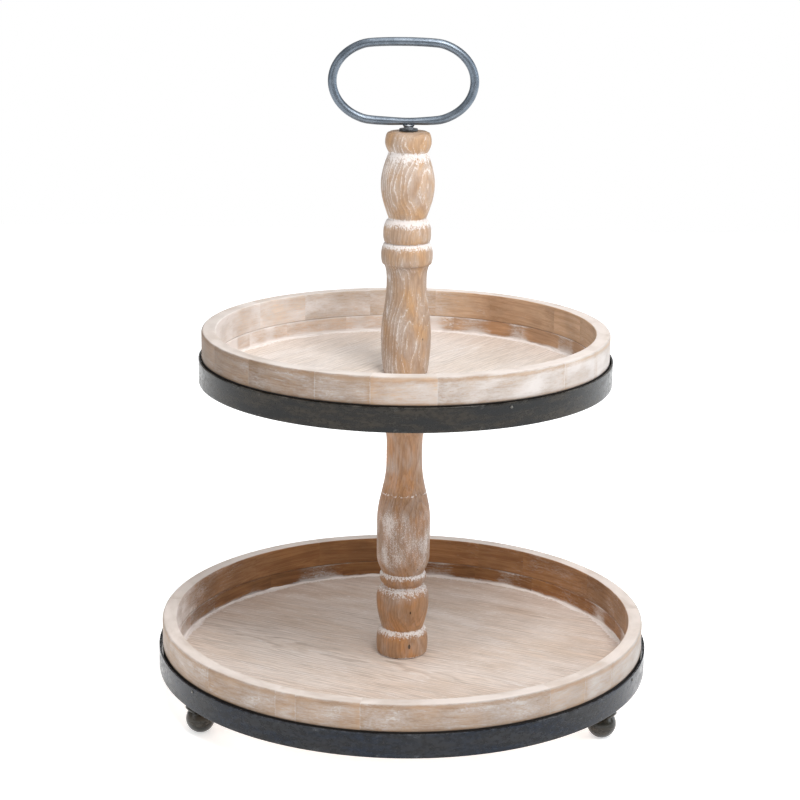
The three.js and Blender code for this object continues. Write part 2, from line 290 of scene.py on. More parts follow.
def mark_finish(mesh, first, second, third, grime_and_shade=0.0):
    """Stores a finish's shares as a colour. The alpha is 1 where the surface is clean and unshaded; grime
    and painted shade lower it.
    """
    shares = np.broadcast_arrays(first, second, third, 1.0 - grime_and_shade)
    mark(mesh, "finish", np.stack(shares, -1))


def linked(name, data):
    """A new object in the scene."""
    obj = bpy.data.objects.new(name, data)
    bpy.context.scene.collection.objects.link(obj)
    return obj


def show(name, mesh, body, slot, material, *replaced):
    """Puts a finished mesh into the scene as a piece that rides on a body."""
    mesh.name = name
    mesh.materials.append(material)
    obj = linked(name, mesh)
    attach(obj, body)
    if replaced:
        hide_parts(*replaced)


def revolved(section, columns, close=False):
    """A plain body of revolution. An open section starts and ends on the axis."""
    radius, height = np.array(section).T
    return cleaned(grid_mesh(around(radius, height, full_circle(columns)[:, None]), close))


# ---- Materials ----


def srgb(red, green, blue):
    """A colour given as it looks on a screen, 0 to 255, as linear RGBA."""
    shares = [c / 255 for c in (red, green, blue)]
    return (*[s / 12.92 if s <= 0.04045 else ((s + 0.055) / 1.055) ** 2.4 for s in shares], 1.0)


class Nodes:
    """A shader's tree, built node by node. Most methods add nodes and return an output."""

    def __init__(self, tree):
        self.tree = tree

    def feed(self, socket, value):
        if isinstance(value, bpy.types.NodeSocket):
            self.tree.links.new(value, socket)
        else:
            socket.default_value = value

    def node(self, kind, values, output=0, **settings):
        made = self.tree.nodes.new("ShaderNode" + kind)
        for key, value in settings.items():
            setattr(made, key, value)
        for key, value in values.items():
            self.feed(made.inputs[key], value)
        return made.outputs[output]

    def place(self):
        """The point on the piece, in the stand's own frame."""
        return self.node("TexCoord", {}, "Object")

    def attribute(self, name, output="Vector"):
        return self.node("Attribute", {}, output, attribute_name=name)

    def channels(self, name):
        colour = self.attribute(name, "Color")
        made = self.tree.nodes.new("ShaderNodeSeparateColor")
        self.feed(made.inputs[0], colour)
        return made.outputs[0], made.outputs[1], made.outputs[2]

    def math(self, operation, a, b=0.0):
        return self.node("Math", {0: a, 1: b}, operation=operation)

    def vector(self, operation, a, b):
        return self.node("VectorMath", {0: a, 1: b}, operation=operation)

    def length(self, vector):
        return self.node("VectorMath", {0: vector}, "Value", operation="LENGTH")

    def total(self, *terms):
        """Adds up (weight, value) pairs and plain numbers."""
        result = None
        for term in terms:
            if isinstance(term, tuple):
                term = self.math("MULTIPLY", term[1], term[0])
            result = term if result is None else self.math("ADD", result, term)
        return result

    def product(self, first, *others):
        for other in others:
            first = self.math("MULTIPLY", first, other)
        return first

    def most(self, first, *others):
        for other in others:
            first = self.math("MAXIMUM", first, other)
        return first

    def step(self, value, start, end, low=0.0, high=1.0):
        """A smooth rise from low to high as the value goes from start to end."""
        values = {"Value": value, "From Min": start, "From Max": end, "To Min": low, "To Max": high}
        return self.node("MapRange", values, interpolation_type="SMOOTHSTEP")

    def scaled(self, vector, size):
        """The vector measured in units of a size in mm along each axis."""
        return self.vector("MULTIPLY", vector, tuple(1 / (s * MM) for s in size))

    def noise(self, vector, size, detail=3.0, roughness=0.5, distortion=0.0):
        """Noise with features of about the given size in mm, one number or one for each axis."""
        size = size if isinstance(size, tuple) else (size, size, size)
        values = {
            "Vector": self.scaled(vector, size), "Scale": 1.0, "Detail": detail,
            "Roughness": roughness, "Distortion": distortion,
        }
        return self.node("TexNoise", values)

    def turned(self, vector, angles, shift=(0, 0, 0)):
        """The vector moved by a shift, then turned by angles in degrees about X, Y and Z."""
        rotation = tuple(math.radians(a) for a in angles)
        return self.node("Mapping", {"Vector": self.vector("ADD", vector, shift), "Rotation": rotation})

    def growth(self, vector, spacing, waver):
        """Tree rings round the vector's X axis: 0 to 1 from each ring to the next."""
        reach = self.length(self.vector("MULTIPLY", vector, (0, 1, 1)))
        wavered = self.total((1 / spacing, reach), (waver, self.noise(vector, (90, 18, 18), 3)))
        return self.math("FRACT", wavered)

    def mix(self, share, a, b):
        return self.node("MixRGB", {0: share, 1: a, 2: b})

    def shaded(self, colour, value, start, end, dark, light):
        """The colour made darker or lighter as a value rises."""
        share = self.step(value, start, end, dark, light)
        grey = self.node("CombineXYZ", {0: share, 1: share, 2: share})
        return self.vector("MULTIPLY", colour, grey)


class Recipe(Nodes):
    """One material: its nodes and the shader that they feed."""

    def __init__(self, name, roughness=0.5, metallic=0.0, specular=0.5):
        self.material = bpy.data.materials.new(name)
        self.material.use_nodes = True
        super().__init__(self.material.node_tree)
        self.shader = self.tree.nodes["Principled BSDF"].inputs
        self.shader["Roughness"].default_value = roughness
        self.shader["Metallic"].default_value = metallic
        self.shader["Specular IOR Level"].default_value = specular

    def done(self, colour, roughness=None, height=None, depth=0.1 * MM):
        self.feed(self.shader["Base Color"], colour)
        if roughness is not None:
            self.feed(self.shader["Roughness"], roughness)
        if height is not None:
            bump = self.node("Bump", {"Height": height, "Strength": 1.0, "Distance": depth})
            self.feed(self.shader["Normal"], bump)
        return self.material


WASH_WHITE = srgb(232, 226, 223)
WASH_THIN = srgb(200, 192, 187)


def rim_wood():
    """Glued hardwood blocks: grain runs along each block, under a rubbed grey-white wash."""
    m = Recipe("rim_wood", specular=0.3)
    block = m.attribute("grain")
    tone = m.attribute("tone", "Fac")
    wash, sanded, stain = m.channels("finish")
    clean_and_unshaded = m.attribute("finish", "Alpha")

    lines = m.noise(block, (90, 4, 2.6), 4, 0.55, 0.8)
    fibre = m.noise(block, (12, 0.5, 0.35), 2)
    patch = m.noise(block, (30, 14, 12), 3)
    cloud = m.noise(block, (24, 20, 20), 2)
    brush = m.noise(block, (9, 1.4, 1.1), 3, 0.6)
    speck = m.noise(block, (2.2, 1.6, 1.0), 3, 0.6)

    pale = m.mix(m.step(lines, 0.38, 0.62), srgb(220, 192, 165), srgb(206, 173, 142))
    brown = m.mix(m.step(lines, 0.34, 0.66), srgb(160, 113, 71), srgb(138, 93, 55))
    wood = m.mix(stain, pale, brown)
    wood = m.shaded(wood, fibre, 0.3, 0.7, 0.92, 1.06)
    wood = m.shaded(wood, tone, -1.0, 1.0, 0.82, 1.13)
    wood = m.shaded(wood, cloud, 0.3, 0.7, 0.88, 1.1)

    thick = m.total((1.3, wash), (0.65, patch), (0.75, brush), (0.5, speck), -1.2)
    cover = m.step(thick, 0.0, 0.75, 0.0, 0.85)
    dabs = m.step(m.total(speck, (0.9, patch), (0.25, wash)), 1.22, 1.32)
    dabs = m.product(dabs, m.step(wash, 0.1, 0.35), 0.85)
    strokes = m.product(m.step(m.total(brush, (0.7, cloud)), 0.98, 1.14), m.step(wash, 0.12, 0.4), 0.8)
    cover = m.most(cover, dabs, strokes)
    white = m.mix(m.step(m.total(patch, (0.6, wash)), 0.65, 1.15), WASH_THIN, WASH_WHITE)
    colour = m.mix(cover, wood, white)
    colour = m.mix(m.product(sanded, 0.75), colour, m.mix(stain, srgb(216, 188, 162), wood))
    # Grime and painted shade darken the wood. Where their share passes 1, as in the painted shadow above
    # the band and behind it, the wood turns near black.
    colour = m.shaded(colour, clean_and_unshaded, 0.0, 1.0, 0.45, 1.0)
    colour = m.mix(m.step(clean_and_unshaded, 0.1, -0.9), colour, srgb(38, 34, 31))

    rough = m.step(cover, 0.0, 1.0, 0.5, 0.72)
    height = m.total((0.6, fibre), (0.4, lines), (0.5, cover))
    return m.done(colour, rough, height, 0.12 * MM)


def knot(m, place, centre, size):
    """1 inside a small ragged spot at a fixed place, fading to 0 outside it."""
    reach = m.length(m.scaled(m.vector("SUBTRACT", place, centre), size))
    return m.step(m.total(reach, (0.9, m.noise(place, 0.9, 2))), 1.45, 1.05)


def post_wood(name, light, amber, late_colour, knots, pith, pore_length, ringed):
    """Turned hardwood: rings cut by the turning show as ovals, with white wash in the pores."""
    m = Recipe(name, specular=0.3)
    place = m.place()
    wash, flecks, stain = m.channels("finish")

    log = m.turned(place, (0, 87.6, 0), pith)
    ring = m.growth(log, 2.9 * MM, 7.5)
    late = m.product(m.step(ring, 0.25, 0.9), m.step(ring, 1.0, 0.9))
    early = m.product(m.step(ring, 0.0, 0.08), m.step(ring, 0.36, 0.1))
    fibre = m.noise(place, (0.45, 0.45, 9), 2)
    pores = m.noise(place, (0.45, 0.45, pore_length), 3, 0.7, 0.3)
    streak = m.noise(place, (1.1, 1.1, 9), 3, 0.6, 0.3)
    patch = m.noise(place, (9, 9, 20), 3)
    honey = m.noise(place, (16, 16, 26), 2)
    speck = m.noise(place, 1.1, 3, 0.65)

    wood = m.mix(m.step(honey, 0.4, 0.66), light, amber)
    wood = m.mix(m.product(late, 0.35), wood, late_colour)
    wood = m.shaded(wood, fibre, 0.3, 0.7, 0.86, 1.1)
    wood = m.shaded(wood, stain, 0.0, 1.0, 1.12, 0.72)
    for centre, size in knots:
        wood = m.mix(m.product(knot(m, place, centre, size), 0.9), wood, srgb(48, 34, 26))

    fine = m.noise(place, (0.3, 0.3, pore_length / 2), 2, 0.6)
    open_grain = m.total((ringed, early), (0.45, flecks), (1.1, pores), (1.1, fine), (0.9, patch))
    filled = m.product(m.step(open_grain, 2.03 + ringed / 4, 2.25 + ringed / 4), 0.85)
    haze = m.step(m.total(patch, (0.5, streak), (0.2, flecks)), 0.7, 1.15, 0.0, 0.4)
    thick = m.total((1.2, wash), (1.8, streak), (2.0, speck), (0.5, patch), -2.35)
    coat = m.step(thick, 0.35, 0.8, 0.0, 0.92)
    cover = m.most(filled, haze, m.product(coat, m.step(wash, 0.02, 0.2)))
    white = m.mix(m.most(coat, filled), WASH_THIN, WASH_WHITE)
    colour = m.mix(cover, wood, white)

    height = m.total((0.5, fibre), (0.6, coat), (-0.4, late), (0.3, filled))
    return m.done(colour, m.step(cover, 0.0, 1.0, 0.46, 0.72), height, 0.14 * MM)


def floor_veneer(name, direction, shift, light, warm, figure):
    """Oak veneer: arched figure along one line, and open pores rubbed with white."""
    m = Recipe(name, specular=0.3)
    place = m.place()
    wash, _, stain = m.channels("finish")
    sheet = m.turned(m.turned(place, (0, 0, direction), shift), (0, 2.4, 0))
    ring = m.growth(sheet, 2.8 * MM, 5.0)
    late = m.product(m.step(ring, 0.35, 0.88), m.step(ring, 1.0, 0.92))
    early = m.product(m.step(ring, 0.0, 0.1), m.step(ring, 0.42, 0.16))
    fibre = m.noise(sheet, (14, 0.6, 0.6), 2)
    pores = m.noise(sheet, (6, 0.45, 0.45), 3, 0.7)
    lines = m.noise(sheet, (70, 1.7, 1.7), 3, 0.6)
    tint = m.noise(sheet, (110, 30, 30), 2)
    patch = m.noise(sheet, (45, 14, 14), 3)
    speck = m.noise(place, 2.2, 3, 0.6)
    dot = m.noise(place, 1.6, 1)
    shown = m.step(m.noise(sheet, (70, 6, 6), 2), 0.38, 0.62, 0.3, 1.0)

    wood = m.mix(m.step(tint, 0.35, 0.68), light, warm)
    wood = m.mix(m.product(late, shown, figure), wood, srgb(160, 136, 118))
    wood = m.shaded(wood, fibre, 0.3, 0.7, 0.86, 1.09)
    wood = m.shaded(wood, lines, 0.32, 0.62, 0.8, 1.07)
    wood = m.mix(m.product(stain, 0.6), wood, srgb(154, 118, 90))
    open_grain = m.total((0.2, m.product(early, shown)), (1.5, pores), (0.6, patch))
    filled = m.product(m.step(open_grain, 1.14, 1.36), 0.9)
    haze = m.step(patch, 0.3, 0.75, 0.12, 0.5)
    thick = m.total((1.25, wash), (1.4, speck), -1.1)
    coat = m.step(thick, 0.12, 0.36, 0.0, 0.95)
    cover = m.most(filled, haze, m.product(coat, m.step(wash, 0.02, 0.2)))
    cover = m.most(cover, m.product(m.step(dot, 0.86, 0.9), 0.9))
    colour = m.mix(cover, wood, m.mix(m.most(coat, filled), srgb(222, 210, 201), WASH_WHITE))
    height = m.total((0.5, fibre), (-0.6, pores), (-0.3, late))
    return m.done(colour, m.step(cover, 0.0, 1.0, 0.5, 0.7), height, 0.08 * MM)


def dark_metal(name, cool, warm, worn, specular, contrast):
    """Blackened steel under wax: a mottled bloom, rubbed edges and a few fine scratches."""
    m = Recipe(name, specular=specular)
    place = m.place()
    edge, scratch, _ = m.channels("finish")
    cloud = m.noise(place, (40, 40, 9), 4, 0.6)
    mottle = m.noise(place, (5, 5, 3), 3, 0.55)
    grit = m.noise(place, 0.5, 2)
    colour = m.mix(m.step(cloud, 0.35, 0.65), cool, warm)
    colour = m.shaded(colour, mottle, 0.3, 0.7, 1 - contrast, 1 + contrast)
    rub = m.step(m.total(edge, (0.7, mottle)), 0.75, 1.2)
    marks = m.product(scratch, m.step(grit, 0.45, 0.6))
    colour = m.mix(m.most(m.product(rub, 0.3), m.product(marks, 0.7)), colour, worn)
    rough = m.step(m.total(mottle, (0.8, cloud)), 0.65, 1.15, 0.15, 0.36)
    return m.done(colour, rough, m.total((0.6, mottle), (0.25, grit)), 0.05 * MM)


def steel(name, light, dark, roughness, lines):
    """Bright metal: `lines` is the size of its brushing along X, Y and Z, in millimetres."""
    m = Recipe(name, metallic=1.0)
    along = m.attribute("brushing")
    brushed = m.noise(along, lines, 2, 0.5)
    cloud = m.noise(m.place(), 9, 3)
    colour = m.mix(m.step(m.total((0.15, brushed), (0.85, cloud)), 0.36, 0.64), light, dark)
    rough = m.step(brushed, 0.35, 0.65, roughness - 0.02, roughness + 0.02)
    return m.done(colour, rough, brushed, 0.001 * MM)


RIM_WOOD = rim_wood()
LOWER_POST_WOOD = post_wood(
    "lower_post_wood", srgb(164, 128, 98), srgb(178, 130, 88), srgb(118, 84, 58),
    [
        ((0.006, -0.0205, 0.0395), (1.3, 3, 2.4)), ((0.0065, -0.019, 0.069), (0.9, 3, 1.6)),
        ((0.012, -0.017, 0.105), (0.7, 3, 1.2)),
    ],
    (0.048, -0.036, 0.0), 1.8, 0.05,
)
UPPER_POST_WOOD = post_wood(
    "upper_post_wood", srgb(188, 159, 134), srgb(200, 160, 120), srgb(148, 112, 84),
    [((0.013, -0.013, 0.297), (1.0, 3, 2.0))], (0.042, -0.038, -0.30), 2.8, 0.3,
)
LOWER_VENEER = floor_veneer(
    "lower_floor_veneer", 25, (0.05, 0.012, -0.006), srgb(225, 213, 204), srgb(214, 195, 179), 0.55,
)
UPPER_VENEER = floor_veneer(
    "upper_floor_veneer", -57, (0.03, 0.05, -0.245), srgb(229, 221, 215), srgb(224, 212, 201), 0.3,
)
LOWER_BAND_METAL = dark_metal(
    "lower_band_metal", srgb(14, 22, 34), srgb(30, 31, 34), srgb(104, 106, 110), 0.25, 0.5,
)
UPPER_BAND_METAL = dark_metal(
    "upper_band_metal", srgb(16, 17, 18), srgb(42, 37, 30), srgb(104, 102, 98), 0.3, 0.5,
)
FOOT_METAL = dark_metal("foot_metal", srgb(34, 33, 28), srgb(50, 43, 33), srgb(104, 98, 86), 0.35, 0.2)
HANDLE_STEEL = steel("handle_steel", srgb(122, 131, 141), srgb(106, 115, 125), 0.44, (30, 0.9, 0.9))
# Lighter and smoother than the ring's steel; the lighter colour partly paints the light that the neck
# catches.
STUD_STEEL = steel("stud_steel", srgb(200, 202, 204), srgb(166, 170, 175), 0.36, (3, 0.3, 0.3))
WASHER_STEEL = steel("washer_steel", srgb(96, 99, 103), srgb(70, 72, 76), 0.34, (4, 0.3, 0.3))
BRAD_STEEL = steel("brad_steel", srgb(112, 110, 106), srgb(84, 82, 80), 0.42, (2, 0.3, 0.3))
ZINC_STEEL = steel("zinc_steel", srgb(176, 178, 180), srgb(150, 153, 158), 0.3, (3, 0.3, 0.3))
INSERT_BRASS = steel("insert_brass", srgb(190, 160, 96), srgb(160, 130, 74), 0.34, (3, 0.3, 0.3))


# ---- Trays ----


class Tray:
    """The radii and heights of one tier's tray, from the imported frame."""

    def __init__(self, name, body):
        self.name, self.body = name, body
        band_low, band_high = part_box(f"{name}_band")
        self.band_radius, self.band_bottom, self.band_top = band_high.x, band_low.z, band_high.z
        rim_low, rim_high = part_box(f"{name}_rim_top_ring")
        self.wood_radius, self.layer_joint, self.rim_top = rim_high.x, rim_low.z, rim_high.z
        base_low, base_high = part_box(f"{name}_rim_base_ring")
        self.wood_bottom, self.base_top = base_low.z, base_high.z
        _, panel_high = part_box(f"{name}_floor_panel")
        self.panel_radius, self.floor_top = panel_high.x, panel_high.z
        self.wall = self.wood_radius - WALL_THICKNESS


def joint_angles(front, seed):
    """All of a ring's glue joints, in radians from -pi to pi: the front ones and even steps."""
    dice = random.Random(seed)
    start, end = max(front) + JOINT_MARGIN, min(front) + 360 - JOINT_MARGIN
    count = round((end - start) / JOINT_STEP)
    places = [start + (end - start) * i / count for i in range(count + 1)]
    rest = [place + dice.uniform(-JOINT_SCATTER, JOINT_SCATTER) for place in places]
    return np.sort([(math.radians(a) + math.pi) % (2 * math.pi) - math.pi for a in [*front, *rest]])


def columns_for(joints, radius):
    """Azimuths round a ring, with extra ones across each glue joint."""
    offsets = np.array([-6, -2, -1, 0, 1, 2, 6]) * JOINT_WIDTH / 2 / radius
    near = (joints[:, None] + offsets).ravel()
    return np.unique(np.round(np.concatenate([full_circle(540) - math.pi, near]), 7))


def from_joint(azimuth, joints, radius):
    """The distance along the ring from each azimuth to the nearest glue joint, and which one it is."""
    turn = np.abs(azimuth[:, None] - joints)
    turn = np.minimum(turn, 2 * math.pi - turn)
    return turn.min(1) * radius, turn.argmin(1)


def look(table, azimuth):
    """The shares of a table of [azimuth in degrees, shares...], at each azimuth."""
    places, *columns = np.array(table).T
    return [np.interp(np.degrees(azimuth), places, column, period=360) for column in columns]


def glued_ring(tray, section, joints, seed, finish):
    """A ring of glued blocks. finish(depth, height, azimuth, gap, plain) gives its finish's shares:
    depth is the distance in from the outer wall, gap the distance to the nearest glue joint, and
    plain how much that joint shows."""
    dice = random.Random(seed)
    azimuth = columns_for(joints, tray.wood_radius)
    gap, nearest = from_joint(azimuth, joints, tray.wood_radius)
    gap, plain = gap[:, None], np.array([dice.uniform(0.15, 1) for _ in joints])[nearest][:, None]
    section = divided(section, 1.6 * MM)
    radius, height = np.array(section).T
    run = np.roll(section, -1, 0) - np.roll(section, 1, 0)
    normal = np.stack([run[:, 1], -run[:, 0]], -1) / np.linalg.norm(run, axis=1)[:, None]
    groove = -JOINT_DEPTH * plain * hump(gap, JOINT_WIDTH)
    uneven = 0.12 * MM * ripple(azimuth, [2, 3, 5, 9, 14, 23], seed)[:, None]
    shift = groove + uneven * np.abs(normal[:, 0])
    points = around(radius + normal[:, 0] * shift, height + normal[:, 1] * groove, azimuth[:, None])
    mesh = grid_mesh(points, True)

    mark_finish(mesh, *finish(tray.wood_radius - radius, height, azimuth[:, None], gap, plain))

    # Every face belongs to one block, and measures its grain from that block's own middle.
    middle = azimuth + np.diff(azimuth, append=azimuth[0] + 2 * math.pi) / 2
    block = np.repeat(np.searchsorted(joints, middle) % len(joints), len(section))
    starts = np.roll(joints, 1)
    starts = np.where(starts > joints, starts - 2 * math.pi, starts)
    centre = ((starts + joints) / 2)[block]
    offset = np.array([[dice.uniform(0, 9) for _ in range(3)] for _ in joints])[block]
    slope = np.array([dice.uniform(-0.06, 0.06) for _ in joints])[block]
    tone = np.array([dice.uniform(-1, 1) for _ in joints])[block]
    flat = points.reshape(-1, 3)[grid_faces(*points.shape[:2], True)]
    outward = np.stack([np.sin(centre), -np.cos(centre)], -1)[:, None, :]
    sideways = np.stack([np.cos(centre), np.sin(centre)], -1)[:, None, :]
    along = (flat[..., :2] * sideways).sum(-1)
    across = (flat[..., :2] * outward).sum(-1)
    up = flat[..., 2] + slope[:, None] * along
    grain = np.stack([along, across, up], -1) + offset[:, None, :]
    mark(mesh, "grain", grain, "FLOAT_VECTOR", "CORNER")
    mark(mesh, "tone", tone, "FLOAT", "FACE")
    return cleaned(mesh)


def rim_top(tray, joints):
    outer, inner, top, bottom = tray.wood_radius, tray.wall, tray.rim_top, tray.layer_joint
    section = rounded([
        (inner, bottom, LAYER_BREAK), (outer, bottom, LAYER_BREAK),
        (outer, top, RIM_ROUND), (inner, top, RIM_BREAK),
    ], 6)

    def finish(depth, height, azimuth, gap, plain):
        outside = smooth(depth, RIM_ROUND, 0.2 * MM)
        inside = smooth(depth, WALL_THICKNESS - RIM_BREAK, WALL_THICKNESS - 0.1 * MM)
        crown = (1 - outside) * (1 - inside)
        below = top - height + 0.5 * MM * ripple(azimuth, [7, 16, 27, 41], tray.name)
        worn = hump(below - 2.3 * MM, 1.1 * MM) * smooth(depth, 1.2 * MM, 0)
        low = smooth(height, tray.band_top + 3.5 * MM, tray.band_top) * outside
        beside = hump(gap, 2.4 * MM) * outside * plain**2
        line = hump(gap, 0.4 * MM) * outside * plain
        out_wash_and_light, out_brown_and_shade, out_grime_and_shade = look(OUTER_LOOK[tray.name], azimuth)
        in_wash_and_light, in_brown_and_shade, in_grime_and_shade = look(INNER_LOOK[tray.name], azimuth)
        wash = outside * out_wash_and_light * (1 - 0.5 * worn - 0.5 * low - 0.4 * beside) + 0.3 * line
        wash = wash + crown * 0.8 + inside * in_wash_and_light
        sanded = np.clip(0.7 * worn * (1 - out_brown_and_shade) + 0.3 * beside - line, 0, 1) + 0.15 * crown
        brown = outside * np.clip(out_brown_and_shade + 0.15 * worn + 0.2 * low, 0, 1)
        brown = brown + inside * in_brown_and_shade + crown * 0.05
        # Grey grime, partly painted shade, on the outer wall, the inner wall and the crown.
        grime_and_shade = outside * out_grime_and_shade + inside * in_grime_and_shade + crown * (0.04 + 0.36 * out_grime_and_shade)
        # Painted shadow: the wood in the narrow crevice just above the band is turned near black.
        seam = smooth(height, tray.band_top + 1.4 * MM, tray.band_top + 0.3 * MM) * outside
        return wash, sanded, brown, grime_and_shade + 1.9 * seam

    mesh = glued_ring(tray, section, joints, f"{tray.name} top", finish)
    name = f"{tray.name}_rim_top_ring"
    show(f"{name}_wood", mesh, tray.body, "rim_wood", RIM_WOOD, name)


def rim_base(tray, joints):
    outer, inner = tray.wood_radius, tray.wall - BASE_LEDGE
    rabbet, floor = tray.wall + RABBET_WIDTH, tray.floor_top + GAP
    section = rounded([
        (rabbet, tray.wood_bottom, 0), (outer, tray.wood_bottom, LAYER_BREAK),
        (outer, tray.base_top, LAYER_BREAK), (inner, tray.base_top, LAYER_BREAK),
        (inner, floor, 0), (rabbet, floor, 0),
    ], 3)

    def finish(depth, height, azimuth, *_):
        inside = smooth(depth, WALL_THICKNESS - 2 * MM, WALL_THICKNESS)
        foot = smooth(height, floor + 3 * MM, floor)
        ledge = smooth(height, tray.base_top - 1 * MM, tray.base_top)
        smears = smooth(ripple(azimuth, [3, 7, 13, 19], tray.name + " smears"), 0.05, 0.4)
        in_wash_and_light, in_brown_and_shade, in_grime_and_shade = look(INNER_LOOK[tray.name], azimuth)
        smears = smears * (0.5 + 0.5 * smooth(height, floor + 9 * MM, floor + 1 * MM))
        wash = inside * (in_wash_and_light * 0.9 + smears * (0.45 + 0.6 * in_wash_and_light) + 0.6 * foot + 0.2 * ledge)
        # Painted shadow: the base ring's outer edge, seen down the gap behind the band, is turned near
        # black.
        seam = smooth(depth, 1.0 * MM, 0.3 * MM)
        # Painted shade: the brown inner wall made darker still on its left half, most where it is brownest,
        # at the back left.
        left_painted_shade = 0.6 * in_brown_and_shade**2 * smooth(-np.sin(azimuth), -0.1, 0.6)
        return wash, 0.0, 0.25 + 0.85 * in_brown_and_shade * inside, (in_grime_and_shade + left_painted_shade) * inside + 1.9 * seam

    mesh = glued_ring(tray, section, joints, f"{tray.name} base", finish)
    name = f"{tray.name}_rim_base_ring"
    show(f"{name}_wood", mesh, tray.body, "rim_wood", RIM_WOOD, name)


def floor_panel(tray, material):
    ends = (PANEL_HOLE, tray.panel_radius, tray.wood_bottom, tray.floor_top)
    section = ring_section(*ends, PANEL_BREAK, 2, 4 * MM)
    azimuth = full_circle(240)[:, None]
    radius, height = np.array(section).T
    points = around(radius, height, azimuth)
    name = f"{tray.name}_floor_panel"
    mesh = grid_mesh(points, True)
    from_wall = tray.wall - BASE_LEDGE - radius
    drift = 4.5 * MM * ripple(azimuth, [3, 7, 12, 19, 31], name)
    wash = smooth(from_wall + drift, 7 * MM, 0.5 * MM) * 0.8
    along = points[..., 1] / tray.panel_radius
    back, front = FLOOR_DULLED[tray.name]
    dulled = back * smooth(along, 0.0, 0.8) + front * smooth(-along, 0.3, 0.9)
    stain = np.maximum(smooth(from_wall, 14 * MM, 2 * MM) * 0.35, dulled)
    mark_finish(mesh, wash, 0, stain)
    show(f"{name}_veneer", cleaned(mesh), tray.body, "floor_veneer", material, name)


def paint_bead(tray):
    """The line of wash that ran into the corner between the wall and the floor."""
    corner = tray.wall - BASE_LEDGE + 0.1 * MM
    azimuth = full_circle(720)[:, None]
    blobs = ripple(azimuth, [5, 11, 17, 29, 43, 61, 83], f"{tray.name} bead")
    width = np.clip((1.6 + 3.6 * blobs) * MM, 0.15 * MM, 4.8 * MM)
    lumps = ripple(azimuth, [4, 9, 21, 37, 71], f"{tray.name} rise")
    rise = np.clip((0.9 + 2.0 * lumps) * MM, 0.15 * MM, 2.4 * MM)
    turns = np.linspace(0, math.pi / 2, 6)
    bottom = tray.floor_top - 0.05 * MM
    radius = np.concatenate([corner + 0 * azimuth, corner - width * np.cos(turns) ** 1.6], 1)
    height = np.concatenate([bottom + 0 * azimuth, bottom + (rise + 0.3 * MM) * np.sin(turns) ** 1.6], 1)
    points = around(radius, height, azimuth)
    mesh = grid_mesh(points, True)
    mark_finish(mesh, np.ones(points.shape[:2]), 0, 0.2)
    grain = points.reshape(-1, 3)[grid_faces(*points.shape[:2], True)]
    mark(mesh, "grain", grain, "FLOAT_VECTOR", "CORNER")
    show(f"{tray.name}_paint_bead", cleaned(mesh), tray.body, "rim_wood", RIM_WOOD)


def band(tray, material):
    """The hoop: slightly uneven, with rubbed edges and a dressed weld where its ends meet."""
    inner, outer = tray.band_radius - BAND_THICKNESS, tray.band_radius
    section = ring_section(inner, outer, tray.band_bottom, tray.band_top, BAND_EDGE, 4, 1.5 * MM)
    radius, height = np.array(section).T
    seam = math.radians(BAND_WELDS[tray.name])
    columns = np.concatenate([full_circle(600), seam + np.linspace(-5, 5, 31) * MM / outer])
    azimuth = np.unique(np.round(columns, 7))[:, None]
    name = f"{tray.name}_band"
    sway = 0.2 * MM * ripple(azimuth, [2, 3, 4, 7, 11], name)
    lean = 0.12 * MM * ripple(azimuth, [3, 5, 8, 13], name + " lean")
    level = (height - tray.band_bottom) / (tray.band_top - tray.band_bottom) * 2 - 1
    run = (azimuth - seam) * outer
    scallop = 1 + 0.35 * np.sin(height / (0.9 * MM))
    weld = 0.3 * MM * hump(run, 1.5 * MM) * scallop
    outside = smooth(radius, inner + 0.6 * MM, outer - 0.4 * MM)
    mesh = grid_mesh(around(radius + sway + lean * level + weld * outside, height, azimuth), True)
    from_edge = np.minimum(tray.band_top - height, height - tray.band_bottom)
    edge = smooth(from_edge, 1.1 * MM, 0.2 * MM) * (0.55 + 0.45 * ripple(azimuth, [6, 13, 22, 35], name))
    dashes = smooth(ripple(azimuth, [31, 47, 83, 131], name + " marks"), 0.42, 0.6)
    strip = hump(from_edge - 1.6 * MM, 0.5 * MM)
    heat = 0.4 * hump(run, 5 * MM)
    mark_finish(mesh, np.clip(edge + heat, 0, 1), dashes * strip, 0)
    show(f"{name}_steel", cleaned(mesh), tray.body, "band_metal", material, name)


def vertex_places(mesh):
    place = np.zeros(len(mesh.vertices) * 3, np.float32)
    mesh.vertices.foreach_get("co", place)
    return place.reshape(-1, 3)


def along_brushing(mesh):
    """Gives a small metal piece brushing that runs round its own axis."""
    place = vertex_places(mesh)
    middle = (place.min(0) + place.max(0)) / 2
    x, y = place[:, 0] - middle[0], place[:, 1] - middle[1]
    along = np.stack([np.abs(np.arctan2(y, x)) * 3 * MM, np.hypot(x, y), place[:, 2]], -1)
    mark(mesh, "brushing", along, "FLOAT_VECTOR")
    return mesh


